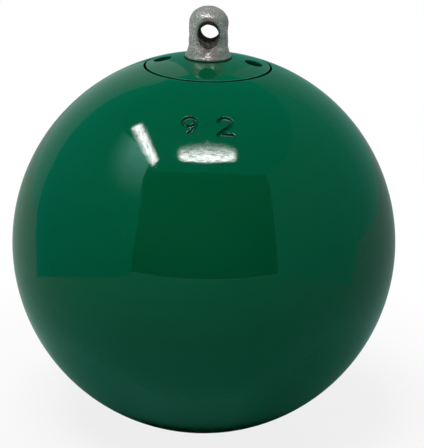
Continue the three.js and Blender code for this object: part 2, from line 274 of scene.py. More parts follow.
floor = disc("floor", FLOOR_RADIUS, -FLOOR_SINK)
floor_paint = finish("floor_paint", Roughness=1.0, Specular_IOR_Level=0)
pale = spread(floor_paint, grain(floor_paint, 400), 0.3, 0.7, 0.45, 0.47)
give(floor_paint, Base_Color=add(floor_paint, "CombineColor", {0: pale, 1: pale, 2: pale}).outputs[0])
distance = vectors(floor_paint, "LENGTH", place_on(floor_paint))
white_share = spread(floor_paint, distance, FADE_START, FADE_END, WHITE_AT_START, 1.0)
white_now = maths(floor_paint, "MULTIPLY", white_share, seen_white(floor_paint))
matt = floor_paint.node_tree.nodes["Principled BSDF"].outputs[0]
white = add(floor_paint, "Emission", {"Strength": 1.0}).outputs[0]
show(floor_paint, add(floor_paint, "MixShader", {0: white_now, 1: matt, 2: white}))
floor.data.materials.append(floor_paint)
print("floor", FLOOR_RADIUS, "m from its middle to its edge")

# %% [markdown]
# ## Lights
# One broad lamp stands high up and to the left in front, so the left of the ball is brighter than
# the right and its top brighter than its belly. A weaker one stands behind, and the world fills the
# rest. All are plain: a colour shows about as it is written.

# %% Set up the lamps
LAMP_DISTANCE, LAMP_SIZE = 1.6, 0.8


def lamp(name, turn, tilt, level):
    """A round lamp, not itself seen in gloss, that shows a white sheet facing it at this level."""
    light = bpy.data.lights.new(name, "AREA")
    light.shape = "DISK"
    light.size = LAMP_SIZE
    light.energy = level * math.pi**2 * LAMP_DISTANCE**2
    stand = placed(name, light)
    way = aim_from(turn, tilt)
    stand.location = centre + way * LAMP_DISTANCE
    stand.rotation_euler = (-way).to_track_quat("-Z", "Y").to_euler()
    stand.visible_glossy = False
    print(f"{name} {light.energy:.1f} W")


lamp("key_lamp", -32, 69, 1.2)
lamp("back_lamp", 160, 30, 0.25)

# %% [markdown]
# ## What the gloss reflects
# Gloss paint is a mirror as much as a colour. In the picture it shows a white tent, open towards
# the camera, with two bright lamps in its roof. Here the tent is a set of cards on a sphere round
# the head. Only reflections see them, so they light nothing and hide nothing.

# %% Cut the cards
TENT_RADIUS, TABLE_RADIUS = 1.2, 1.2
MAT_LIFT = 0.00006
CARD_STEPS = 10
TENT_COLOUR, LEFT_COLOUR, ROOF_COLOUR = (0.1, 1.0, 0.73), (0.02, 1.0, 0.75), (0.003, 1.0, 0.72)


def reflected_only(thing):
    """Hidden from the camera, from shadows and from soft light, but seen in gloss."""
    thing.visible_camera = False
    thing.visible_diffuse = False
    thing.visible_shadow = False
    thing.visible_transmission = False


def glowing(name, level, colour=TENT_COLOUR):
    """A material that only glows, and the node that makes its glow."""
    material = finish(name)
    material.node_tree.nodes.remove(material.node_tree.nodes["Principled BSDF"])
    glow = add(material, "Emission", {"Color": (*colour, 1.0), "Strength": level})
    show(material, glow)
    return material, glow


def sheet(name, rows, level, colour):
    """A glowing sheet through rows of points, with UV along and over the rows; gives its glow."""
    width, height = len(rows[0]), len(rows)
    corners = [i * width + j for i in range(height - 1) for j in range(width - 1)]
    faces = [(a, a + 1, a + width + 1, a + width) for a in corners]
    thing = object_from(name, [point for row in rows for point in row], faces)
    uv = thing.data.uv_layers.new(name="place")
    for loop in thing.data.loops:
        row, column = divmod(loop.vertex_index, width)
        uv.data[loop.index].uv = (column / (width - 1), row / (height - 1))
    material, glow = glowing(name, level, colour)
    thing.data.materials.append(material)
    reflected_only(thing)
    return material, glow


def filled(line):
    """The line with CARD_STEPS - 1 more items, evenly spaced, between each two of its own."""
    line = [np.array(item, dtype=float) for item in line]
    steps = range(CARD_STEPS)
    return [a + (b - a) * k / CARD_STEPS for a, b in zip(line, line[1:]) for k in steps] + [line[-1]]


def card(name, rows, level, colour=TENT_COLOUR, radius=TENT_RADIUS):
    """A patch of a sphere through rows of (turn, tilt) degrees, glowing evenly at level."""
    rows = [[centre + aim_from(*place) * radius for place in filled(row)] for row in filled(rows)]
    return sheet(name, rows, level, colour)


def mat(name, rows, level, colour):
    """A flat patch on the table through rows of (turn in degrees, distance in metres)."""
    rows = [[aim_from(turn, 0) * away for turn, away in row] for row in rows]
    return sheet(name, [[(p.x, p.y, MAT_LIFT) for p in row] for row in rows], level, colour)


print("cards stand", TENT_RADIUS, "m from the ball")

# %% Hang the walls and the roof
WALL_LEVEL = 0.44
LEFT_WALL = [[(-41, -3), (-80, -3), (-118, -3)], [(-41, 12.2), (-84, 12), (-125, 12.2)]]
LEFT_WALL += [[(-42.3, 25.8), (-90, 26), (-138, 26)], [(-46, 37), (-96, 38), (-148, 36.5)]]
LEFT_WALL += [[(-57, 51), (-105, 50), (-155, 45)]]
RIGHT_WALL = [[(42.6, -3), (75, -3), (98, -3)], [(42.6, 11), (80, 11), (117, 11)]]
RIGHT_WALL += [[(44.7, 24), (87, 24), (130, 24)], [(48, 35), (94, 36), (141, 35)]]
RIGHT_WALL += [[(56, 50), (105, 50), (157, 44)]]
BACK_LEFT = [[(t, tilt), ((t - 172) / 2, tilt), (-172, tilt)] for _, _, (t, tilt) in LEFT_WALL]
BACK_RIGHT = [[(170, tilt), ((t + 170) / 2, tilt), (t, tilt)] for _, _, (t, tilt) in RIGHT_WALL]
BACK_MIDDLE = [[(-172, -3), (-190, -3)], [(-172, 45), (-190, 45)]]
ROOF_EDGE = [(-190, 45), (-172, 45), (-155, 45), (-105, 50), (-57, 51), (-28, 57), (0, 59)]
ROOF_EDGE += [(28, 57), (56, 50), (105, 50), (157, 44), (170, 44)]


def tinted_along(cloth, colour_a, colour_b, low, high):
    """Changes a card's colour along its rows, from a at share low to b at share high."""
    material, glow = cloth
    along = part(material, place_on(material, "UV"), "X")
    wire(material, graded(material, along, low, high, colour_a, colour_b), glow.inputs["Color"])


card("left_wall", LEFT_WALL, WALL_LEVEL, LEFT_COLOUR)
card("right_wall", RIGHT_WALL, WALL_LEVEL)
tinted_along(card("back_left", BACK_LEFT, 0.52), (0.25, 1.0, 0.82), (0.6, 1.0, 0.9), 0, 0.7)
card("back_middle", BACK_MIDDLE, 0.32, (0.22, 1.0, 0.84))
tinted_along(card("back_right", BACK_RIGHT, 0.38), (0.36, 1.0, 0.85), (0.1, 1.0, 0.76), 0.3, 1)
card("roof", [ROOF_EDGE, [(turn, 89) for turn, _ in ROOF_EDGE]], 0.42, ROOF_COLOUR)

# The walls' feet: where they stand on the table, nearer at the sides than in front
LEFT_SEAM = [(-41, 0.79), (-49, 0.43), (-57, 0.34), (-69, 0.255), (-79, 0.21), (-89, 0.174)]
LEFT_SEAM += [(-101, 0.148), (-104, 0.21), (-108, 0.294), (-118, TABLE_RADIUS)]
LEFT_FAR = [(turn, TABLE_RADIUS) for turn in (-41, -52, -62, -75, -85, -95, -105, -110, -114, -119)]
RIGHT_SEAM = [(42.6, 0.94), (54, 0.434), (66, 0.293), (78, 0.208), (85, 0.171), (90, 0.262)]
RIGHT_SEAM += [(100, TABLE_RADIUS)]
RIGHT_FAR = [(turn, TABLE_RADIUS) for turn in (42.6, 57, 70, 80, 88, 94, 101)]
mat("left_foot", [LEFT_SEAM, LEFT_FAR], WALL_LEVEL, LEFT_COLOUR)
mat("right_foot", [RIGHT_SEAM, RIGHT_FAR], WALL_LEVEL, TENT_COLOUR)
print("walls of", len(LEFT_WALL), "and", len(RIGHT_WALL), "rows, and their feet")

# %% [markdown]
# The lamps are not plain white patches: paint that is not quite flat draws them out in streaks and
# tears their edges. Noise stretched along the card does both. A haze hangs beside the left lamp.

# %% Hang the bright lamps
LAMP_COLOUR, HAZE_COLOUR = (1.0, 0.98, 1.0), (0.5, 1.0, 1.0)
LAMP_RADIUS, HAZE_RADIUS = 1.1, 1.15
STREAKS = (6, 26, 1)
FRONT_LAMP = [[(-33, 62.8), (-16, 63.9), (2, 64.1), (19, 63.8), (38, 62.5)]]
FRONT_LAMP += [[(-52, 70.4), (-34, 77), (2, 80.5), (38, 77), (57, 70.1)]]
LEFT_LAMP = [[(-110, 52.4), (-94, 55.0), (-79, 55.7), (-64, 54.6), (-51, 52.4)]]
LEFT_LAMP += [[(-113, 60.0), (-97, 63.0), (-80, 63.8), (-64, 62.6), (-50, 59.9)]]
LEFT_HAZE = [[(-82, 32), (-67, 33), (-55, 33.5), (-46, 35)]]
LEFT_HAZE += [[(-110, 50), (-96, 55), (-80, 58), (-60, 60)]]


def streaky(cloth, dimmest, edges, ragged, blend=0.22, fade=2.0):
    """Adds the glow to what lies behind a card, streaky along it and soft at its edges."""
    material, glow = cloth
    place = place_on(material, "UV")
    along, over = part(material, place, "X"), part(material, place, "Y")
    values = {"Vector": vectors(material, "MULTIPLY", place, STREAKS), "Scale": 1.0}
    values |= {"Detail": 8.0, "Roughness": 0.82, "Distortion": 0.6}
    streaks = add(material, "TexNoise", values).outputs["Fac"]
    start, stop, top, bottom = edges
    ramps = ((along, 0, start), (along, 1, 1 - stop), (over, 1, 1 - top), (over, 0, bottom))
    soft = 1.0
    for way, low, high in ramps:
        soft = maths(material, "MULTIPLY", soft, spread(material, way, low, high, 0, 1))
    torn = maths(material, "ADD", maths(material, "MULTIPLY", streaks, ragged), soft)
    inside = spread(material, torn, ragged * 0.6, ragged * 0.6 + blend, 0, 1)
    share = maths(material, "MULTIPLY", spread(material, streaks, 0.42, 0.6, dimmest, 1), inside)
    share = maths(material, "MULTIPLY", share, maths(material, "POWER", soft, fade))
    level = glow.inputs["Strength"].default_value
    wire(material, maths(material, "MULTIPLY", share, level), glow.inputs["Strength"])
    clear = add(material, "BsdfTransparent").outputs[0]
    show(material, add(material, "AddShader", {0: glow.outputs[0], 1: clear}))
    print(f"{material.name} glows at {level:.1f}")


front_lamp = card("front_lamp", FRONT_LAMP, 44, LAMP_COLOUR, LAMP_RADIUS)
left_lamp = card("left_lamp", LEFT_LAMP, 42, LAMP_COLOUR, LAMP_RADIUS)
left_haze = card("left_haze", LEFT_HAZE, 2.6, HAZE_COLOUR, HAZE_RADIUS)
streaky(front_lamp, 0.07, (0.1, 0.1, 0.7, 0.1), 1.1)
streaky(left_lamp, 0.07, (0.07, 0.07, 0.3, 0.42), 1.7)
streaky(left_haze, 0.8, (0.55, 0.02, 0.02, 0.95), 0.1, blend=0.9, fade=0.4)

# %% [markdown]
# Below the walls the gloss shows the table, and in front of them the dark room. The table's glow
# changes with the turn round the ball: brighter to the left, and less green behind. Close to the
# ball a painted shadow dims the table's glow to nothing, and it reaches further on the right.

# %% Lay the reflected table
TABLE_GLOW = {
    -180: (0.27, 0.36, 0.34), -135: (0.28, 0.43, 0.36), -60: (0.1, 0.49, 0.39), 25: (0.06, 0.33, 0.26),
    70: (0.085, 0.38, 0.305), 140: (0.2, 0.28, 0.27), 179: (0.27, 0.36, 0.34),
}
SHADOW_FROM, SHADOW_TO, SHADOW_TO_RIGHT, SHADOW_MORE_LEFT = 0.019, 0.04, 0.085, 0.024
TABLE_LIFT = 0.00002
ROOM_RADIUS, ROOM_LEVEL = 1.25, 0.015

shell = bmesh.new()
bmesh.ops.create_uvsphere(shell, u_segments=48, v_segments=24, radius=ROOM_RADIUS)
dark_room = placed("dark_room", bpy.data.meshes.new("dark_room"))
shell.to_mesh(dark_room.data)
shell.free()
dark_room.location = centre
dark_room.data.materials.append(glowing("dark_room", ROOM_LEVEL)[0])
reflected_only(dark_room)

table = disc("grey_table", TABLE_RADIUS, TABLE_LIFT, rings=40)
table_paint, table_glow = glowing("table_paint", 1.0)
table_place = place_on(table_paint)
from_ball = vectors(table_paint, "LENGTH", table_place)
rightwards = part(table_paint, table_place, "X")
forwards = maths(table_paint, "MULTIPLY", part(table_paint, table_place, "Y"), -1)
first_turn, last_turn = math.radians(VIEW_TURN) - math.pi, math.radians(VIEW_TURN) + math.pi
round_ball = maths(table_paint, "ARCTAN2", rightwards, forwards)
round_ball = spread(table_paint, round_ball, first_turn, last_turn, 0, 1)
bands = add(table_paint, "ValToRGB", {0: round_ball})
stops = bands.color_ramp.elements
stops.remove(stops[1])
for turn, colour in TABLE_GLOW.items():
    stop = stops[0] if turn == -180 else stops.new((turn + 180) / 360)
    stop.color = (*colour, 1.0)
wire(table_paint, bands.outputs["Color"], table_glow.inputs["Color"])
# Painted shadow: the table's glow fades out near the ball, further out on the right.
lean = maths(table_paint, "DIVIDE", rightwards, from_ball)
on_right = spread(table_paint, lean, 0.4, 1, SHADOW_TO, SHADOW_TO_RIGHT)
on_left = spread(table_paint, lean, -0.4, -1, 0, SHADOW_MORE_LEFT)
shadow_to = maths(table_paint, "ADD", on_right, on_left)
wire(table_paint, spread(table_paint, from_ball, SHADOW_FROM, shadow_to, 0, 1), table_glow.inputs["Strength"])
table.data.materials.append(table_paint)
reflected_only(table)

# %% [markdown]
# ## Turning on the lathe
# Nearly every piece of the head was turned on a lathe, so one helper turns a profile about the
# axis. A second one rounds the profile's corners first: a real edge is never quite sharp, and the
# thin line of light along it is what makes metal look like metal.


# %% Draw profiles
def arc(middle, across, up, start, end, steps):
    """Points of an arc in degrees round a middle, reaching this far across and up from it."""
    swing = np.radians(np.linspace(start, end, steps + 1))
    return [(middle[0] + across * math.cos(a), middle[1] + up * math.sin(a)) for a in swing]


def rounded(corners, steps=4):
    """Corners as (radius, height, fillet) turned into a smooth profile of (radius, height)."""
    profile = []
    for i, (r, z, fillet) in enumerate(corners):
        here = np.array([r, z])
        if fillet <= 0:
            profile.append(here)
            continue
        back = np.array(corners[i - 1][:2]) - here
        ahead = np.array(corners[(i + 1) % len(corners)][:2]) - here
        room_back, room_ahead = np.linalg.norm(back), np.linalg.norm(ahead)
        back, ahead = back / room_back, ahead / room_ahead
        half = math.acos(max(-1.0, min(1.0, float(back @ ahead)))) / 2
        cut = min(fillet / math.tan(half), 0.45 * room_back, 0.45 * room_ahead)
        bends = [back * cut * (1 - k / steps) ** 2 + ahead * cut * (k / steps) ** 2 for k in range(steps + 1)]
        profile += [here + bend for bend in bends]
    return profile


def subdivided(profile, longest):
    """The profile with points added so that no step is over longest."""
    made = [np.array(profile[0], float)]
    for point in profile[1:]:
        start = made[-1]
        parts = max(1, math.ceil(np.linalg.norm(point - start) / longest))
        made += [start + (point - start) * (k + 1) / parts for k in range(parts)]
    return made


def crown(from_radius, to_radius, steps):
    """Points on the upper half of the ball's own surface between two radii."""
    start, end = math.acos(from_radius / ball_radius), math.acos(to_radius / ball_radius)
    swing = [start + (end - start) * i / steps for i in range(steps + 1)]
    return [(ball_radius * math.cos(a), ball_radius + ball_radius * math.sin(a)) for a in swing]


def crown_z(radius):
    return ball_radius + math.sqrt(ball_radius**2 - radius**2)


print(f"the ball's crown drops {pole_z - crown_z(cap_radius):.1f} mm at the cap's edge")


# %% Turn profiles into pieces
def mesh_object(name, points, faces, material):
    """An object from points in millimetres, smooth but for its sharp edges, faces pointing out."""
    made = object_from(name, [tuple(p) for p in np.asarray(points) * MM], faces)
    shape = bmesh.new()
    shape.from_mesh(made.data)
    bmesh.ops.remove_doubles(shape, verts=shape.verts, dist=1e-8)
    bmesh.ops.recalc_face_normals(shape, faces=shape.faces)
    shape.to_mesh(made.data)
    shape.free()
    made.data.shade_smooth()
    made.data.set_sharp_from_angle(angle=math.radians(40))
    made.data.materials.append(material)
    return made


def turned(name, profile, material, columns=96, angles=None, reshape=None):
    """A profile turned about Z. It is a ring that closes on itself unless it starts on the axis.

    Reshape may move the grid of radius and height at each angle.
    """
    profile = np.array(profile, float)
    if angles is None:
        angles = np.linspace(0, 2 * math.pi, columns, endpoint=False)
    rows, columns = len(profile), len(angles)
    on_axis = profile[:, 0] < 1e-6
    radius, angle = np.meshgrid(profile[:, 0], angles, indexing="ij")
    height = np.repeat(profile[:, 1:2], columns, axis=1)
    if reshape is not None:
        radius, height = reshape(radius, height, angle)
    grid = np.stack([radius * np.cos(angle), radius * np.sin(angle), height], axis=2)
    faces = []
    for i in range(rows - 1 if on_axis[0] else rows):
        after = (i + 1) % rows
        below, above = i * columns, after * columns
        for j in range(columns):
            k = (j + 1) % columns
            if on_axis[i]:
                faces.append((below, above + k, above + j))
            elif on_axis[after]:
                faces.append((below + j, below + k, above))
            else:
                faces.append((below + j, below + k, above + k, above + j))
    return mesh_object(name, grid.reshape(-1, 3), faces, material)


def set_at(piece, place, turn=0, axis="Z"):
    """Turns a piece's mesh by degrees, then moves it to a place in millimetres."""
    move = Matrix.Translation([v * MM for v in place])
    piece.data.transform(move @ Matrix.Rotation(math.radians(turn), 4, axis))


def smooth_step(value, low, high):
    t = np.clip((value - low) / (high - low), 0, 1)
    return t * t * (3 - 2 * t)


def thread_depth(height, angle, pitch, depth, origin, crest=0.125):
    """Depth below the crest of a sixty degree right-hand thread at each height and angle."""
    phase = (height - origin) / pitch - angle / (2 * math.pi)
    away = np.abs(phase - np.round(phase)) * pitch
    return np.clip((away - crest * pitch / 2) * math.sqrt(3), 0, depth)


def ride(piece, body, slot, *nodes):
    """Puts a finished piece in the frame: on its body, for its nodes; the slot is not used."""
    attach(piece, body)
    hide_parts(*nodes)
    print(f"{piece.name}: {len(piece.data.polygons)} faces on {body}")


print("lathe set up for a ball of", ball_radius, "mm radius")

# %% [markdown]
# ## Gloss green enamel
# The ball and its cap are cast iron under thick gloss enamel. Such paint is smooth but never flat:
# it has a faint orange peel with finer pits and a few grains of dust, and it pulls thin and pale on
# sharp edges, where the gap's two lips also get a painted highlight. Down in the ring gap and in
# sunk hollows such as the digits and spanner holes it is dull and darkened by painted shade. The
# colour is the shader's base, and the mirror part is its own specular: what tints the reflections
# is the tent.

# %% Mix the enamel
MOUTH_GAP = 0.55
GAP_RADIUS = cap_radius + MOUTH_GAP / 2
DARK_GREEN, LIGHT_GREEN = (0.0003, 0.054, 0.0203), (0.0006, 0.0605, 0.0232)
DUSTY_GREEN, WORN_AND_HIGHLIGHT_GREEN = (0.004, 0.05, 0.02), (0.02, 0.17, 0.11)
RECESS_SHADE_GREEN, GAP_SHADE_GREEN = (0.0003, 0.028, 0.012), (0.0003, 0.008, 0.004)
DUST_SIZE, DUST_HEIGHT = 0.9, 0.012
PEEL_SIZE, PEEL_DEPTH = 2.4, 0.006
PIT_SIZE, PIT_DEPTH = 0.75, 0.0035


def enamel(name):
    """The paint: painted shade in the ring gap and in sunk hollows, and worn paler along the gap's two lips,
    partly a painted highlight.
    """
    material = finish(name, IOR=1.5)
    drift = grain(material, 38, detail=2)
    body = graded(material, drift, 0.3, 0.7, DARK_GREEN, LIGHT_GREEN)
    dust = spread(material, grain(material, DUST_SIZE, detail=1, distortion=0.4), 0.76, 0.82, 0, 1)
    dusty = between(material, dust, body, DUSTY_GREEN)
    place = place_on(material)
    from_axis = vectors(material, "LENGTH", vectors(material, "MULTIPLY", place, (1, 1, 0)))
    from_gap = maths(material, "ABSOLUTE", maths(material, "SUBTRACT", from_axis, GAP_RADIUS * MM))
    # The gap's two lips turn paler: partly worn thin paint, partly a painted highlight along the edge.
    lip = spread(material, from_gap, 0.38 * MM, 0.5 * MM, 1, 0)
    bare_and_highlit = maths(material, "MULTIPLY", lip, grain(material, 2.5, detail=3))
    worn_and_highlit = between(material, bare_and_highlit, dusty, WORN_AND_HIGHLIGHT_GREEN)
    from_centre = vectors(material, "LENGTH", vectors(material, "SUBTRACT", place, centre))
    # Surfaces sunk below the ball's skin, such as the digits and spanner holes, get painted shade.
    recess_shade = spread(material, from_centre, (ball_radius - 0.6) * MM, (ball_radius - 0.38) * MM, 1, 0)
    # The ring gap itself gets near-black painted shade.
    in_gap = spread(material, from_gap, 0.27 * MM, 0.31 * MM, 1, 0)
    shaded = between(material, recess_shade, worn_and_highlit, RECESS_SHADE_GREEN)
    cloud = spread(material, grain(material, 14, detail=3), 0.35, 0.7, 0.025, 0.065)
    rough = add(material, "Mix", {0: in_gap, 2: cloud, 3: 0.75}, data_type="FLOAT").outputs[0]
    give(material, Base_Color=between(material, in_gap, shaded, GAP_SHADE_GREEN), Roughness=rough)
    give(material, Specular_IOR_Level=spread(material, in_gap, 0, 1, 0.5, 0.06))
    peel = dent(material, grain(material, PEEL_SIZE, detail=1.5), PEEL_DEPTH)
    pits = dent(material, grain(material, PIT_SIZE, detail=2), PIT_DEPTH, before=peel)
    dent(material, dust, DUST_HEIGHT, before=pits)
    return material


ball_enamel, cap_enamel = enamel("ball_enamel"), enamel("cap_enamel")
print("enamel for", ball_enamel.name, "and", cap_enamel.name)

# %% [markdown]
# ## The ball
# The ball is one turned surface: round outside, a rounded lip, the screwed mouth, and the drilled
# pocket below it. Its rows and columns crowd together in front, where two plain digits were
# struck into the iron before it was painted. Each digit is a path, and the punch presses in
# wherever the path is near. The thick paint has softened every edge.

# %% Draw the digits
STAMP_SPACING = 7.9
DIGIT_SIZE = (3.4, 4.8)

# Both digits are drawn in shares of their width and height
NINE = arc((0, 0.22), 0.42, 0.26, 0, 360, 24) + arc((-0.3, 0.18), 0.72, 0.66, 0, -62, 12)
TWO = arc((0, 0.2), 0.44, 0.28, 165, -35, 16) + [(-0.46, -0.48), (0.48, -0.48)]


def digit_path(shape, across, lean):
    """The digit's points in millimetres on the stamp's own plane, leaning by some degrees."""
    c, s = math.cos(math.radians(lean)), math.sin(math.radians(lean))
    return np.array(shape) * DIGIT_SIZE @ np.array([[c, -s], [s, c]]) + (across, 0)


def path_distance(points, path):
    """Distance from each point to the nearest stretch of the path."""
    best = np.full(len(points), 1e9)
    for a, b in zip(path, path[1:]):
        along = b - a
        share = np.clip((points - a) @ along / max(along @ along, 1e-12), 0, 1)
        best = np.minimum(best, np.linalg.norm(points - a - share[:, None] * along, axis=1))
    return best


digits = [digit_path(NINE, -STAMP_SPACING / 2, 3.0), digit_path(TWO, STAMP_SPACING / 2, -2.0)]
print("digits with", [len(digit) for digit in digits], "points")

# %% Strike the digits and cut the mouth's thread
STAMP_TURN, STAMP_TILT = math.radians(-90 + 3.8), math.radians(53.2)
STROKE_WIDTH, STROKE_DEPTH, STROKE_SOFT = 0.66, 0.6, 0.2
BURR_HEIGHT, BURR_WIDTH = 0.07, 0.22
CAP_HEAD = 6.0
THREAD_PITCH, THREAD_DEPTH, THREAD_GAP, THREAD_STOP = 3.0, 1.65, 0.2, 0.3
RELIEF_HEIGHT, RELIEF_DEPTH = 1.8, 2.05
NEAR = 0.02
cap_seat_z = pole_z - CAP_HEAD
cap_core = cap_radius - THREAD_DEPTH
ball_bore = cap_core + THREAD_GAP
relief_z = cap_under_z + RELIEF_HEIGHT
thread_end_z = cap_seat_z - THREAD_STOP


def struck_and_screwed(radius, height, angle):
    """Presses the digits into the outside and cuts the screw thread into the mouth."""
    east = np.array([-math.sin(STAMP_TURN), math.cos(STAMP_TURN), 0])
    ahead = np.array([math.cos(STAMP_TURN), math.sin(STAMP_TURN), 0])
    out = math.cos(STAMP_TILT) * ahead + np.array([0, 0, math.sin(STAMP_TILT)])
    north = np.cross(out, east)
    points = np.stack([radius * np.cos(angle), radius * np.sin(angle), height - ball_radius], 2)
    on_skin = np.hypot(radius, height - ball_radius) > ball_radius - NEAR / 2
    near = (points @ out > ball_radius * 0.95) & on_skin
    flat = np.stack([points[near] @ east, points[near] @ north], 1)
    depth = np.zeros(len(flat))
    for digit in digits:
        away = path_distance(flat, digit) - STROKE_WIDTH / 2
        press = 1 - smooth_step(away, -STROKE_SOFT / 2, STROKE_SOFT)
        burr = BURR_HEIGHT * np.exp(-(((away - STROKE_SOFT) / BURR_WIDTH) ** 2))
        depth = np.maximum(depth, STROKE_DEPTH * press - burr * (press < 0.02))
    share = np.ones_like(radius)
    share[near] -= depth / ball_radius
    radius, height = radius * share, ball_radius + (height - ball_radius) * share
    screw = (np.abs(radius - ball_bore) < NEAR) & (height < thread_end_z) & (height > relief_z)
    groove = THREAD_DEPTH - thread_depth(height, angle, THREAD_PITCH, THREAD_DEPTH, cap_under_z)
    return np.where(screw, radius + groove, radius), height


print(f"the cap's thread runs {thread_end_z - relief_z:.1f} mm down the mouth")

# %% Turn the ball
LIP_ROUND = 0.28
POCKET_GAP, POCKET_FLOOR_GAP = 0.25, 3.0
DRILL_HALF_ANGLE = math.radians(59)
DENSE_TURN, DENSE_TILT = math.radians(13.5), math.radians(4.2)
COARSE = math.radians(2.5)
mouth_radius = cap_radius + MOUTH_GAP
pocket_radius = race_radius + POCKET_GAP
pocket_floor_z = spindle_end_z - POCKET_FLOOR_GAP
drill_tip_z = pocket_floor_z - pocket_radius / math.tan(DRILL_HALF_ANGLE)

fine_columns = np.linspace(-DENSE_TURN, DENSE_TURN, 133)
rest_columns = np.arange(DENSE_TURN + COARSE, 2 * math.pi - DENSE_TURN - COARSE / 2, COARSE)
ball_angles = np.concatenate([fine_columns, rest_columns]) + STAMP_TURN
lip_tilt = math.acos((mouth_radius + LIP_ROUND) / ball_radius)
tilts = [
    *np.linspace(-math.pi / 2, STAMP_TILT - DENSE_TILT, 70)[:-1],
    *np.linspace(STAMP_TILT - DENSE_TILT, STAMP_TILT + DENSE_TILT, 76),
    *np.linspace(STAMP_TILT + DENSE_TILT, lip_tilt, 12)[1:],
]
outside = [(ball_radius * math.cos(a), ball_radius * (1 + math.sin(a))) for a in tilts]
inside = rounded([
    (*outside[-1], 0), (mouth_radius, crown_z(mouth_radius), LIP_ROUND),
    (mouth_radius, cap_seat_z, 0.15), (ball_bore, cap_seat_z, 0.3), (ball_bore, relief_z, 0),
    (ball_bore + RELIEF_DEPTH, relief_z, 0.1), (ball_bore + RELIEF_DEPTH, cap_under_z, 0.1),
    (pocket_radius, cap_under_z, 0.3), (pocket_radius, pocket_floor_z, 0.4), (0.0, drill_tip_z, 0),
])
ball_profile = [(0.0, 0.0), *outside[1:-1], *subdivided(inside, 0.4)[:-1], (0.0, drill_tip_z)]
ball = turned("iron_ball_painted", ball_profile, ball_enamel, angles=ball_angles, reshape=struck_and_screwed)
ride(ball, "head", "ball_paint", "iron_ball")

# %% [markdown]
# ## The cap
# The cap is a round plug screwed into the ball's mouth. Its crown carries on the ball's surface,
# and two blind holes take a pin spanner. They could be modelled into its rows and columns, but a
# hole drilled square into a turned piece is easiest as a cut: make the piece, make the drill, and
# subtract. The cut leaves long faces in the curved crown, which would bend the reflections, so the
# crown's shading normals are then aimed straight out of the ball's centre.


# %% Cut, join and aim
def bake(piece):
    """Replaces the mesh by the one that its modifiers make, keeping its materials."""
    bpy.context.view_layer.update()
    graph = bpy.context.evaluated_depsgraph_get()
    made = bpy.data.meshes.new_from_object(piece.evaluated_get(graph), depsgraph=graph)
    old = piece.data
    made.name = old.name
    piece.modifiers.clear()
    piece.data = made
    bpy.data.meshes.remove(old)


def combine(piece, tool, operation="DIFFERENCE"):
    """Applies one exact boolean between two objects and removes the tool."""
    step = piece.modifiers.new(operation.lower(), "BOOLEAN")
    step.operation = operation
    step.object = tool
    step.solver = "EXACT"
    bake(piece)
    bpy.data.objects.remove(tool)


def keep_round(piece, tolerance=0.004):
    """Aims the shading normals of faces on the ball's surface out of the ball's centre."""
    mesh = piece.data
    mesh.set_sharp_from_angle(angle=math.radians(35))
    normals = [(0.0, 0.0, 0.0)] * len(mesh.loops)
    for face in mesh.polygons:
        corners = [mesh.vertices[v].co - centre for v in face.vertices]
        if all(abs(c.length - ball_radius * MM) < tolerance * MM for c in corners):
            for loop, corner in zip(face.loop_indices, corners):
                normals[loop] = tuple(corner.normalized())
    mesh.normals_split_custom_set(normals)
    print(f"{piece.name}: {sum(any(n) for n in normals)} normals aimed")


# %% Make the cap
COLLAR_HEIGHT, COLLAR_PROUD, COLLAR_GAP, COLLAR_SEAT_GAP = 2.6, 0.2, 0.12, 0.15
SHANK_BORE = 5.06
CAP_EDGE = 0.22
THREAD_FADE = 1.2
PIN_HOLE_TURN = math.radians(-2.5)
PIN_HOLE_CIRCLE, PIN_HOLE_DIAMETER, PIN_HOLE_DEPTH = 21.4, 4.2, 4.0
DRILL_OVERRUN = 2
recess_radius = collar_radius + COLLAR_GAP
recess_floor_z = pole_z + COLLAR_PROUD - COLLAR_HEIGHT - COLLAR_SEAT_GAP
cap_top = crown(recess_radius + CAP_EDGE, cap_radius - CAP_EDGE, 22)
cap_rest = rounded([
    (*cap_top[-1], 0), (cap_radius, crown_z(cap_radius), CAP_EDGE), (cap_radius, cap_seat_z, 0.15),
    (cap_core, cap_seat_z, 0.15), (cap_core, cap_under_z, 0.4), (SHANK_BORE, cap_under_z, 0.2),
    (SHANK_BORE, recess_floor_z, 0.1), (recess_radius, recess_floor_z, 0.2),
    (recess_radius, crown_z(recess_radius), CAP_EDGE), (*cap_top[0], 0),
])


def cap_thread(radius, height, angle):
    """Raises the screw thread on the cap's waist and lets it die away at both ends."""
    start_z = cap_under_z + THREAD_FADE
    waist = (np.abs(radius - cap_core) < NEAR) & (height < thread_end_z) & (height > start_z)
    ridge = THREAD_DEPTH - thread_depth(height, angle, THREAD_PITCH, THREAD_DEPTH, cap_under_z)
    fade = smooth_step(height, start_z, start_z + THREAD_FADE)
    fade = fade * (1 - smooth_step(height, thread_end_z - THREAD_FADE, thread_end_z))
    return np.where(waist, radius + ridge * fade, radius), height


cap_profile = [*cap_top[:-1], *subdivided(cap_rest, 0.35)[:-1]]
cap = turned("bearing_cap_painted", cap_profile, cap_enamel, columns=144, reshape=cap_thread)
pin_radius, pin_hole_z = PIN_HOLE_DIAMETER / 2, crown_z(PIN_HOLE_CIRCLE / 2)
drill_profile = rounded([
    (0, pin_hole_z - PIN_HOLE_DEPTH, 0), (pin_radius, pin_hole_z - PIN_HOLE_DEPTH, 0.25),
    (pin_radius, pin_hole_z + DRILL_OVERRUN, 0), (0, pin_hole_z + DRILL_OVERRUN, 0),
])
for turn in (PIN_HOLE_TURN, PIN_HOLE_TURN + math.pi):
    drill = turned("pin_drill", drill_profile, cap_enamel, columns=48)
    set_at(drill, (PIN_HOLE_CIRCLE / 2 * math.cos(turn), PIN_HOLE_CIRCLE / 2 * math.sin(turn), 0))
    combine(cap, drill)
keep_round(cap)
ride(cap, "head", "cap_paint", "bearing_cap")
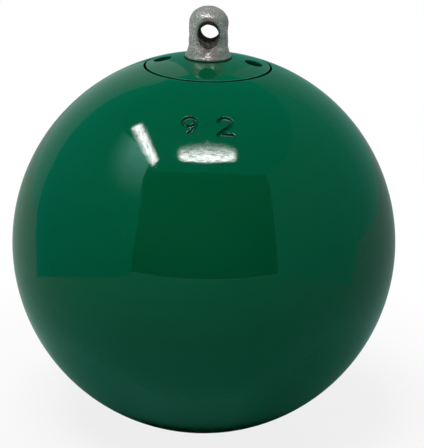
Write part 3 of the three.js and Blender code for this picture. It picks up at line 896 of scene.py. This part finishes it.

# %% [markdown]
# ## Bare forged steel
# The eye was forged, tumbled and never painted. Its skin is grey and grainy, smoother where it
# has been handled, and nearly black inside the hole: partly oxide where no hand gets, partly painted
# shade where no light gets. Painted shade also darkens its creases, the dome and foot, and the
# collar's side under the foot. One finish tells these places apart by their height, their curvature
# and their distance from the hole's axis.

# %% Mix the forged finish
HOLE_HEIGHT, HOLE_OFF_CENTRE, HOLE_SQUEEZE = 5.8, 0.25, 1.32
hole_z = pole_z + HOLE_HEIGHT
PIT_GREY, BRIGHT_GREY, STAIN_GREY = (0.19, 0.148, 0.15), (0.58, 0.46, 0.46), (0.17, 0.135, 0.13)
CREASE_SHADE_GREY, TARNISH, SHADE_GREY = (0.09, 0.085, 0.075), (0.1, 0.085, 0.07), (0.1, 0.09, 0.085)
DARK_OXIDE_SHADE, LIGHT_OXIDE_SHADE, FOOT_SHADE_GREY = (0.015, 0.014, 0.012), (0.09, 0.08, 0.07), (0.012, 0.014, 0.012)


def forged():
    """Grey steel with stains, oxide and painted shade in the hole, and painted shade in creases, on the dome
    and foot, and under the foot.
    """
    material = finish("forged_finish", IOR=2.1)
    fine = grain(material, 0.42, detail=5, roughness=0.75)
    broad = grain(material, 4.5, detail=3)
    place = place_on(material)
    height = part(material, place, "Z")

    def over_height(low, high, to_low, to_high):
        return spread(material, height, low * MM, high * MM, to_low, to_high)

    clean = graded(material, fine, 0.4, 0.6, PIT_GREY, BRIGHT_GREY)
    stained = between(material, spread(material, broad, 0.45, 0.65, 0, 0.45), clean, STAIN_GREY)
    # Painted shade: hollow, low-pointiness places are darkened.
    pointed = add(material, "NewGeometry").outputs["Pointiness"]
    crease_shaded = between(material, spread(material, pointed, 0.44, 0.49, 0.75, 0), stained, CREASE_SHADE_GREY)
    across = vectors(material, "SUBTRACT", place, (HOLE_OFF_CENTRE * MM, 0.0, hole_z * MM))
    away = vectors(material, "LENGTH", vectors(material, "MULTIPLY", across, (HOLE_SQUEEZE, 0, 1)))
    ragged = maths(material, "ADD", away, maths(material, "MULTIPLY", fine, 0.8 * MM))
    in_hole = spread(material, ragged, 3.65 * MM, 4.0 * MM, 1, 0)
    round_lip = spread(material, ragged, 4.3 * MM, 5.0 * MM, 0.6, 0)
    tarnished = between(material, round_lip, crease_shaded, TARNISH)
    # Inside the hole the near-black is partly oxide and partly painted shade.
    hole_scale_shade = graded(material, fine, 0.45, 0.65, DARK_OXIDE_SHADE, LIGHT_OXIDE_SHADE)
    oxide_and_shade = between(material, in_hole, tarnished, hole_scale_shade)
    # Painted shade: the collar's side just below the foot is darkened to read as a shadowed gap line.
    under_foot_shade = over_height(pole_z - 0.1, pole_z + 0.08, 1, 0)
    under_foot_shade = maths(material, "MULTIPLY", under_foot_shade, over_height(pole_z - 2.0, pole_z - 1.2, 0, 1))
    # Painted shade: the dome and the foot, which face up towards the key lamp, are darkened.
    on_dome = over_height(eye_top_z - 4.2, eye_top_z - 2.4, 0, 0.55)
    on_foot = over_height(pole_z + 0.9, pole_z + 2.6, 0.72, 0)
    toned = between(material, maths(material, "MAXIMUM", on_dome, on_foot), oxide_and_shade, SHADE_GREY)
    dull = maths(material, "MAXIMUM", in_hole, under_foot_shade)
    satin = maths(material, "MAXIMUM", spread(material, broad, 0.35, 0.65, 0.11, 0.24), in_hole)
    give(material, Base_Color=between(material, under_foot_shade, toned, FOOT_SHADE_GREY), Roughness=satin)
    give(material, Specular_IOR_Level=spread(material, dull, 0, 1, 0.5, 0.08))
    dent(material, fine, 0.045)
    return material


forged_finish = forged()
print("forged finish with", len(forged_finish.node_tree.nodes), "nodes")

# %% [markdown]
# ## The swivel eye
# The eye is one forging with its spindle: a domed post, a flared foot, a collar sunk in the cap,
# and a long shank with a screw thread for the nut. It is turned, then the hole is cut with a
# trumpet-shaped tool whose lips flare more above and below, where the wire bends, than at the
# sides. A fine even remesh softens the cut, and noise pushes the skin in and out like a forging's.

# %% Turn and pierce the post
POST_RADIUS, DOME_HEIGHT = 4.525, 3.7
HOLE_RADIUS, LIP_RADIUS, LIP_POWER = 2.22, 1.45, 1.5
LIP_START_SIDE, LIP_START_TOP = 3.1, 3.0
SKIN_STEP = 0.115
collar_top_z = pole_z + COLLAR_PROUD
collar_under_z = collar_top_z - COLLAR_HEIGHT
shoulder_z = eye_top_z - DOME_HEIGHT
post = rounded([
    (0, collar_under_z, 0), (collar_radius, collar_under_z, 0.2), (collar_radius, collar_top_z, 0.15),
    (POST_RADIUS + 0.42, collar_top_z + 0.85, 0.8), (POST_RADIUS, collar_top_z + 2.6, 1.5),
    (POST_RADIUS, shoulder_z, 0),
])
dome = arc((0, shoulder_z), POST_RADIUS, DOME_HEIGHT, 0, 90, 24)[1:-1]
eye = turned("swivel_eye_forged", [*post, *dome, (0.0, eye_top_z)], forged_finish, columns=128)


def trumpet(radius, height, angle):
    """Flares the cutter's ends, most above and below the hole."""
    start = LIP_START_SIDE + (LIP_START_TOP - LIP_START_SIDE) * np.sin(angle) ** 2
    past = np.clip(np.abs(height) - start, 0, 2 * LIP_RADIUS)
    flare = LIP_RADIUS * (past / LIP_RADIUS) ** LIP_POWER
    return np.where(radius > 0, radius + flare, radius), height


half_length = POST_RADIUS + 1.5
stations = [(HOLE_RADIUS, y) for y in np.linspace(-half_length, half_length, 90)]
cutter_profile = [(0, -half_length), *stations, (0, half_length)]
cutter = turned("hole_cutter", cutter_profile, forged_finish, reshape=trumpet)
set_at(cutter, (HOLE_OFF_CENTRE, 0, hole_z), 90, "X")
combine(eye, cutter)
skin = eye.modifiers.new("skin", "REMESH")
skin.mode = "VOXEL"
skin.voxel_size = SKIN_STEP * MM
bake(eye)
print("skin of", len(eye.data.vertices), "points")

# %% [markdown]
# The forging's skin is worked point by point. Broad swells leave flats that catch the light,
# fine grit breaks it up, the foot's edge wanders, and the wire has worn a crescent below the hole.

# %% Work the skin
SWELL_SIZE, SWELL_DEPTH = 1.7, 0.12
GRIT_SIZE, GRIT_DEPTH = 0.4, 0.035
WANDER_SIZE, WANDER_DEPTH, WANDER_REACH = 0.9, 0.3, 0.5
WANDER_START = Vector((7, 3, 1))
WEAR_PLACE = np.array([HOLE_OFF_CENTRE, -POST_RADIUS, hole_z - 4.0])
WEAR_REACH, WEAR_DEPTH = 0.95, 0.4
BOX_MARGIN = 0.02


def forged_skin(mesh, keep_below):
    """Moves each point along its normal; points under keep_below stay as turned."""
    mesh.update()
    points = np.empty(len(mesh.vertices) * 3)
    normals = np.empty(len(mesh.vertices) * 3)
    mesh.vertices.foreach_get("co", points)
    mesh.vertex_normals.foreach_get("vector", normals)
    points, normals = points.reshape(-1, 3) / MM, normals.reshape(-1, 3)
    near_foot = np.exp(-(((points[:, 2] - collar_top_z - 0.1) / WANDER_REACH) ** 2))
    push = np.zeros(len(points))
    for i, point in enumerate(points):
        at = Vector(point)
        wander = min(0.0, noise.noise(at / WANDER_SIZE + WANDER_START))
        push[i] = SWELL_DEPTH * noise.noise(at / SWELL_SIZE) + WANDER_DEPTH * near_foot[i] * wander
        push[i] += GRIT_DEPTH * noise.fractal(at / GRIT_SIZE, 0.8, 2.0, 2)
    push -= WEAR_DEPTH * np.exp(-((np.linalg.norm(points - WEAR_PLACE, axis=1) / WEAR_REACH) ** 2))
    push *= smooth_step(points[:, 2], keep_below, keep_below + 0.3)
    room = np.clip(collar_radius - BOX_MARGIN - np.hypot(points[:, 0], points[:, 1]), 0, None)
    push = np.minimum(push, np.minimum(room, eye_top_z - BOX_MARGIN - points[:, 2]))
    mesh.vertices.foreach_set("co", ((points + normals * push[:, None]) * MM).ravel())
    mesh.update()
    print(f"skin moved by {push.min():.2f} to {push.max():.2f} mm")


forged_skin(eye.data, collar_top_z - 0.5)

# %% [markdown]
# The shank is cut like a real bolt: a sixty degree thread of 1.5 mm pitch that runs up to a
# relief below the bearing, plain above it, and a cross hole for the split pin.

# %% Turn the shank and join it
SHANK_RADIUS, SHANK_RELIEF, SHANK_CHAMFER = 4.96, 0.7, 0.8
SHANK_PITCH, SHANK_THREAD = 1.5, 0.92
SLOT_WIDTH, SLOT_DEPTH = 2.8, 4.4
PIN_DIAMETER, PIN_BORE, PIN_CLEARANCE = 2.0, 1.2, 0.2
BORE_HALF = 8
thread_top_z = washer_under_z + 1.0
split_pin_z = nut_under_z + (SLOT_DEPTH - PIN_DIAMETER / 2 - PIN_CLEARANCE)
joint_z = collar_under_z + 1.0


def shank_thread(radius, height, angle):
    """Cuts the thread between the end chamfer and the relief."""
    cut = thread_depth(height, angle, SHANK_PITCH, SHANK_THREAD, spindle_end_z)
    run = (height > spindle_end_z + 0.3) & (height < thread_top_z - 0.4) & (radius > SHANK_RADIUS - 0.9)
    fade = 1 - smooth_step(height, thread_top_z - 1.6, thread_top_z - 0.4)
    return np.where(run, np.minimum(radius, SHANK_RADIUS - cut * fade), radius), height


shank_corners = rounded([
    (0, spindle_end_z, 0), (SHANK_RADIUS - SHANK_CHAMFER, spindle_end_z, 0.1),
    (SHANK_RADIUS, spindle_end_z + SHANK_CHAMFER, 0), (SHANK_RADIUS, thread_top_z - 1, 0.2),
    (SHANK_RADIUS - SHANK_RELIEF, thread_top_z - 0.5, 0.2), (SHANK_RADIUS, thread_top_z, 0.2),
    (SHANK_RADIUS, joint_z, 0), (0, joint_z, 0),
])
shank_profile = subdivided(shank_corners, 0.14)
shank = turned("shank", shank_profile, forged_finish, columns=72, reshape=shank_thread)
bore_profile = [(0, -BORE_HALF), (PIN_BORE, -BORE_HALF), (PIN_BORE, BORE_HALF), (0, BORE_HALF)]
bore = turned("pin_bore", bore_profile, forged_finish, columns=24)
set_at(bore, (0, 0, split_pin_z), 90, "Y")
combine(shank, bore)
combine(eye, shank, "UNION")
eye.data.shade_smooth()
eye.data.set_sharp_from_angle(angle=math.radians(50))
ride(eye, "spindle", "forged_steel", "swivel_eye")

# %% [markdown]
# ## Inside the head
# The bearing, the nut and its lock are sealed in the pocket. They were bought ready-made, so each
# has the finish of its trade: races and balls ground and polished, the cage stamped from brass,
# and the washer, nut and split pin bright with zinc.


# %% Mix the inner finishes
def polished():
    """Bearing steel with fine grinding lines round the axis, under a thin film of oil."""
    material = finish("polished_steel", Metallic=1.0)
    lines = {"W": part(material, place_on(material), "Z"), "Scale": 9 / MM, "Detail": 3.0}
    ground = add(material, "TexNoise", lines, noise_dimensions="1D").outputs["Fac"]
    film = spread(material, grain(material, 3, detail=3), 0.4, 0.7, 0, 0.5)
    steel = between(material, film, (0.62, 0.63, 0.64), (0.5, 0.48, 0.42))
    give(material, Base_Color=steel, Roughness=spread(material, ground, 0.3, 0.7, 0.06, 0.2))
    dent(material, ground, 0.004)
    return material


def stamped_brass():
    material = finish("stamped_brass", Metallic=1.0)
    cloud = grain(material, 2.2, detail=4)
    brass = graded(material, cloud, 0.35, 0.7, (0.58, 0.38, 0.12), (0.36, 0.21, 0.07))
    give(material, Base_Color=brass, Roughness=spread(material, cloud, 0.3, 0.7, 0.2, 0.4))
    dent(material, grain(material, 0.35, detail=3), 0.02)
    return material


def bright_zinc():
    """Zinc plate, whose crystals differ a little in shade."""
    material = finish("bright_zinc", Metallic=1.0)
    cells = {"Vector": place_on(material), "Scale": 1 / (1.6 * MM)}
    spangle = add(material, "TexVoronoi", cells).outputs["Color"]
    shade = add(material, "RGBToBW", {0: spangle}).outputs[0]
    zinc = graded(material, shade, 0.2, 0.8, (0.46, 0.48, 0.51), (0.58, 0.6, 0.62))
    give(material, Base_Color=zinc, Roughness=spread(material, shade, 0, 1, 0.22, 0.42))
    dent(material, grain(material, 0.5, detail=4), 0.015)
    return material


steel_finish, brass_finish, zinc_finish = polished(), stamped_brass(), bright_zinc()
print("inner finishes:", steel_finish.name, brass_finish.name, zinc_finish.name)

# %% [markdown]
# The bearing is a row of balls between two races. Each race is a ring whose groove follows the
# balls a little more loosely than their own curve. The cage keeps the balls apart: it is a ring
# with a pocket punched for each.

# %% Grind the races and the balls
BALL_COUNT, ROLLING_CIRCLE = 9, 8.5
ROLLING_GAP, CONFORMITY = 0.05, 1.04
UPPER_BORE, LOWER_BORE = 5.5, 5.0
RACE_FILLET, GROOVE_FILLET = 0.5, 0.15
(_, _, rolling_low_z), (_, _, rolling_high_z) = reach("rolling_ball_1")
ball_row_z = float(np.mean([rolling_low_z, rolling_high_z]))
rolling_radius = rolling_high_z - ball_row_z
race_height = reach("upper_race")[1][2] - reach("upper_race")[0][2]


def race(name, body, side, bore):
    """A thrust race whose groove faces the row of balls; side is 1 above them and -1 below."""
    low, high = reach(name)
    back = high[2] - ball_row_z if side > 0 else ball_row_z - low[2]
    face = back - race_height
    groove = CONFORMITY * rolling_radius
    middle = rolling_radius + ROLLING_GAP - groove
    half = math.acos((face - middle) / groove)
    swing = [math.pi / 2 + half * (1 - k / 16) for k in range(33)]
    track = [(ROLLING_CIRCLE + groove * math.cos(a), middle + groove * math.sin(a), 0) for a in swing]
    corners = [(bore, back, RACE_FILLET), (bore, face, GROOVE_FILLET), *track]
    corners += [(race_radius, face, GROOVE_FILLET), (race_radius, back, RACE_FILLET)]
    profile = [(r, ball_row_z + side * z) for r, z in rounded(corners)]
    made = turned(name + "_ground", profile, steel_finish, columns=144)
    ride(made, body, "bearing_steel", name)


race("upper_race", "head", 1, UPPER_BORE)
race("lower_race", "spindle", -1, LOWER_BORE)
half_circle = arc((0, 0), rolling_radius, rolling_radius, -90, 90, 24)
half_circle[0], half_circle[-1] = (0.0, -rolling_radius), (0.0, rolling_radius)
places = []
for number in range(1, BALL_COUNT + 1):
    turn = math.radians(360 / BALL_COUNT * (number - 1))
    places.append((ROLLING_CIRCLE * math.cos(turn), ROLLING_CIRCLE * math.sin(turn), ball_row_z))
    made = turned(f"rolling_ball_{number}_polished", half_circle, steel_finish, columns=48)
    set_at(made, places[-1])
    ride(made, f"roller_{number}", "bearing_steel", f"rolling_ball_{number}")

# %% Stamp the cage
CAGE_HALF, CAGE_RIM, CAGE_FILLET = 0.8, 0.6, 0.25
POCKET_CLEARANCE, POCKET_FLARE, FLARE_HEIGHT = 0.12, 0.5, 0.15
PUNCH_HALF = 2
cage_outer = reach("ball_cage")[1][0]
pocket = rolling_radius + POCKET_CLEARANCE
cage_inner = ROLLING_CIRCLE - pocket - CAGE_RIM
under_z, over_z = ball_row_z - CAGE_HALF, ball_row_z + CAGE_HALF
cage_corners = [(cage_inner, under_z), (cage_outer, under_z), (cage_outer, over_z), (cage_inner, over_z)]
cage_profile = rounded([(*corner, CAGE_FILLET) for corner in cage_corners])
cage = turned("ball_cage_stamped", cage_profile, brass_finish, columns=144)
punch_profile = [(0, -PUNCH_HALF), (pocket + POCKET_FLARE, -PUNCH_HALF)]
punch_profile += [(pocket, -CAGE_HALF + FLARE_HEIGHT), (pocket, PUNCH_HALF), (0, PUNCH_HALF)]
for place in places:
    punch = turned("punch", punch_profile, brass_finish, columns=48)
    set_at(punch, place)
    combine(cage, punch)
cage.data.set_sharp_from_angle(angle=math.radians(40))
ride(cage, "ball_row", "cage_brass", "ball_cage")

# %% [markdown]
# The nut is a lathe piece too: its outside radius follows a hexagon round the axis, its chamfers
# trim the corners, and its bore carries the same helix as the spindle, so the threads mesh. Then
# three cuts across the lower end make the six slots that the split pin locks in.

# %% Make the washer and the castle nut
WASHER_BORE = 5.25
FLAT, FACE_LAND, CORNER_ROUND = 8.0, 0.1, 0.12
NUT_CLEARANCE = 0.12
MILL_REACH, MILL_OVERRUN, MILL_CORNER = 12, 1, 0.5
THIRTY = math.radians(30)
washer_outer = reach("spindle_washer")[1][0]
washer_profile = rounded([
    (WASHER_BORE, washer_under_z, 0.1), (washer_outer, washer_under_z, 0.1),
    (washer_outer, bearing_under_z, 0.5), (WASHER_BORE, bearing_under_z, 0.35),
])
washer = turned("spindle_washer_plated", washer_profile, zinc_finish, columns=128)
ride(washer, "spindle", "zinc_plate", "spindle_washer")


def hexagon(radius, height, angle):
    """Follows the flats outside, trimmed by both chamfers, and the thread inside."""
    within = np.mod(angle, math.pi / 3) - math.pi / 6
    flats = np.minimum(FLAT / np.cos(within), FLAT / math.cos(THIRTY) - CORNER_ROUND)
    from_face = np.minimum(height - nut_under_z, washer_under_z - height)
    trimmed = np.minimum(flats, FLAT - FACE_LAND + from_face / math.tan(THIRTY))
    cut = thread_depth(height, angle, SHANK_PITCH, SHANK_THREAD, spindle_end_z)
    threaded = radius - cut * smooth_step(from_face, 0.1, 1.0)
    return np.where(radius > SHANK_RADIUS + 1, trimmed, threaded), height


def skinned(name, rows, material):
    """A closed skin through rows of points in millimetres, with a flat face at each end."""
    count, last = len(rows[0]), len(rows) - 1
    faces = []
    for i in range(last):
        for j in range(count):
            a, b = i * count + j, i * count + (j + 1) % count
            faces.append((a, b, b + count, a + count))
    faces += [tuple(range(count)), tuple(range(last * count, (last + 1) * count))]
    return mesh_object(name, [point for row in rows for point in row], faces, material)


nut_steps = np.linspace(nut_under_z, washer_under_z, 121)
nut_profile = [(FLAT, z) for z in nut_steps] + [(SHANK_RADIUS + NUT_CLEARANCE, z) for z in nut_steps[::-1]]
nut = turned("castle_nut_plated", nut_profile, zinc_finish, columns=144, reshape=hexagon)
slot_profile = rounded([
    (-SLOT_WIDTH / 2, -MILL_OVERRUN, 0), (-SLOT_WIDTH / 2, SLOT_DEPTH, MILL_CORNER),
    (SLOT_WIDTH / 2, SLOT_DEPTH, MILL_CORNER), (SLOT_WIDTH / 2, -MILL_OVERRUN, 0),
])
for turn in (0, 60, 120):
    ends = [[(x, y, nut_under_z + z) for y, z in slot_profile] for x in (-MILL_REACH, MILL_REACH)]
    mill = skinned("mill", ends, zinc_finish)
    set_at(mill, (0, 0, 0), turn)
    combine(nut, mill)
nut.data.set_sharp_from_angle(angle=THIRTY)
ride(nut, "spindle", "zinc_plate", "castle_nut")

# %% [markdown]
# A split pin is one half-round wire folded back on itself. Its path runs along one leg, round the
# head loop and back along the other leg, and both tails are bent apart past the nut.

# %% Bend the split pin
WIRE_RADIUS, LEG_GAP = 0.9, 0.1
LOOP_RADIUS, LOOP_SPREAD = 0.9, math.radians(35)
BEND_RADIUS, TAIL = 1.6, 3.0
bend_x = FLAT + PIN_CLEARANCE + WIRE_RADIUS - BEND_RADIUS
fork_x = -(FLAT + PIN_CLEARANCE)
leg = [(bend_x + BEND_RADIUS, LEG_GAP + BEND_RADIUS + TAIL)]
leg += arc((bend_x, LEG_GAP + BEND_RADIUS), BEND_RADIUS, BEND_RADIUS, 0, -90, 12)
leg += [(fork_x, LEG_GAP)]
loop_reach = (LOOP_RADIUS * math.cos(LOOP_SPREAD) - LEG_GAP) / math.sin(LOOP_SPREAD)
loop_x = fork_x - loop_reach * math.cos(LOOP_SPREAD) - LOOP_RADIUS * math.sin(LOOP_SPREAD)
start = 90 - math.degrees(LOOP_SPREAD)
loop = arc((loop_x, 0), LOOP_RADIUS, LOOP_RADIUS, start, 360 - start, 24)
path = np.array(leg + loop + [(x, -y) for x, y in reversed(leg)])

section = arc((0, 0), WIRE_RADIUS, WIRE_RADIUS, -90, 90, 12)
steps = np.diff(path, axis=0)
steps /= np.linalg.norm(steps, axis=1)[:, None]
rows = []
for i, (x, y) in enumerate(path):
    into, out_of = steps[max(i - 1, 0)], steps[min(i, len(steps) - 1)]
    heading = (into + out_of) / np.linalg.norm(into + out_of)
    sides = [across / max(float(heading @ out_of), 0.5) for across, _ in section]
    flat = [(x + side * heading[1], y - side * heading[0]) for side in sides]
    rows.append([(*place, split_pin_z + up) for place, (_, up) in zip(flat, section)])
ride(skinned("split_pin_plated", rows, zinc_finish), "spindle", "zinc_plate", "split_pin")
